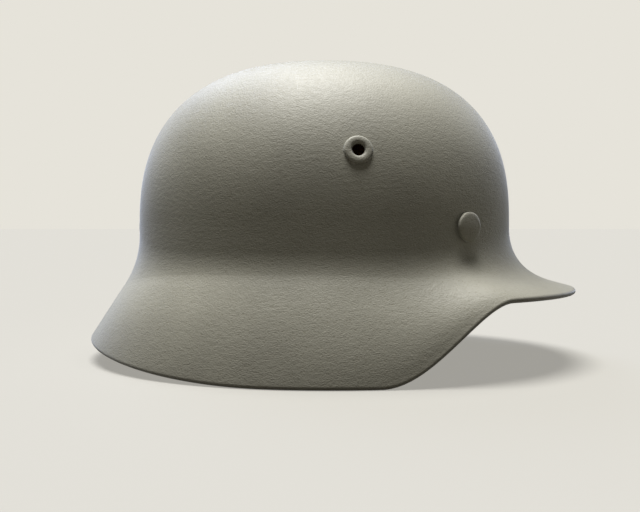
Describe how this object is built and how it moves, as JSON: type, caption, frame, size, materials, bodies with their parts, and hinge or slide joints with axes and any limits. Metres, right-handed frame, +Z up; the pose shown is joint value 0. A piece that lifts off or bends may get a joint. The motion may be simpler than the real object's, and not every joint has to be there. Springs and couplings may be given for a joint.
{
  "type": "steel helmet",
  "caption": "Flared steel helmet shell with visor, neck guard, raised side vents and split pins, holding a sprung leather liner and a buckled chinstrap on swinging bales.",
  "frame": {"origin": "under the middle of the whole object's box, on the table that the skirt's rim stands on", "axes": "+X towards the wearer's front and the visor, +Y towards the wearer's left, +Z up through the crown"},
  "size_m": [0.2979, 0.2308, 0.1814],
  "materials": {
    "grey_paint": "matt, faintly grained field grey paint",
    "pin_paint": "matt grey paint",
    "band_steel": "dull zinc-plated steel",
    "spring_steel": "dark spring steel",
    "rivet_steel": "plain steel",
    "wire_steel": "dark burnished wire",
    "liner_leather": "tan vegetable-tanned leather",
    "strap_leather": "dark brown leather",
    "felt": "pressed wool felt",
    "lace_cord": "twisted cotton cord"
  },
  "bodies": {
    "helmet": {"shell": "grey_paint", "pin_right": "pin_paint", "pin_left": "pin_paint", "pin_rear": "pin_paint", "pin_washers": "rivet_steel", "outer_band": "band_steel", "inner_band": "band_steel", "spring_front": "spring_steel", "spring_left": "spring_steel", "spring_right": "spring_steel", "spring_rear_left": "spring_steel", "spring_rear_right": "spring_steel", "spring_rivets": "rivet_steel", "felt_ring": "felt", "leather_liner": "liner_leather", "leather_clips": "rivet_steel", "crown_lace": "lace_cord", "bale_tab_left": "band_steel", "bale_tab_right": "band_steel", "bale_tab_rivets": "rivet_steel"},
    "left_bale": {"bale_left": "wire_steel"},
    "right_bale": {"bale_right": "wire_steel"},
    "chinstrap": {"strap_short": "strap_leather", "strap_long": "strap_leather", "strap_studs": "wire_steel", "strap_keeper": "strap_leather", "buckle_frame": "band_steel"},
    "prong": {"buckle_prong": "band_steel"}
  },
  "joints": [
    {"name": "left_bale_swing", "type": "hinge", "parent": "helmet", "child": "left_bale", "pos_m": [-0.007, 0.08567, 0.066], "axis": [1, 0, 0], "range_deg": [-15, 15]},
    {"name": "right_bale_swing", "type": "hinge", "parent": "helmet", "child": "right_bale", "pos_m": [-0.007, -0.08567, 0.066], "axis": [1, 0, 0], "range_deg": [-15, 15]},
    {"name": "chinstrap_swing", "type": "hinge", "parent": "left_bale", "child": "chinstrap", "pos_m": [-0.007, 0.08567, 0.044], "axis": [1, 0, 0], "range_deg": [-15, 15]},
    {"name": "prong_swing", "type": "hinge", "parent": "chinstrap", "child": "prong", "pos_m": [-0.007, 0.03, 0.00785], "axis": [1, 0, 0], "range_deg": [0, 12]}
  ],
  "couplings": [
    {"joint": "right_bale_swing", "follows": "left_bale_swing", "ratio": 1},
    {"joint": "chinstrap_swing", "follows": "left_bale_swing", "ratio": -1}
  ]
}
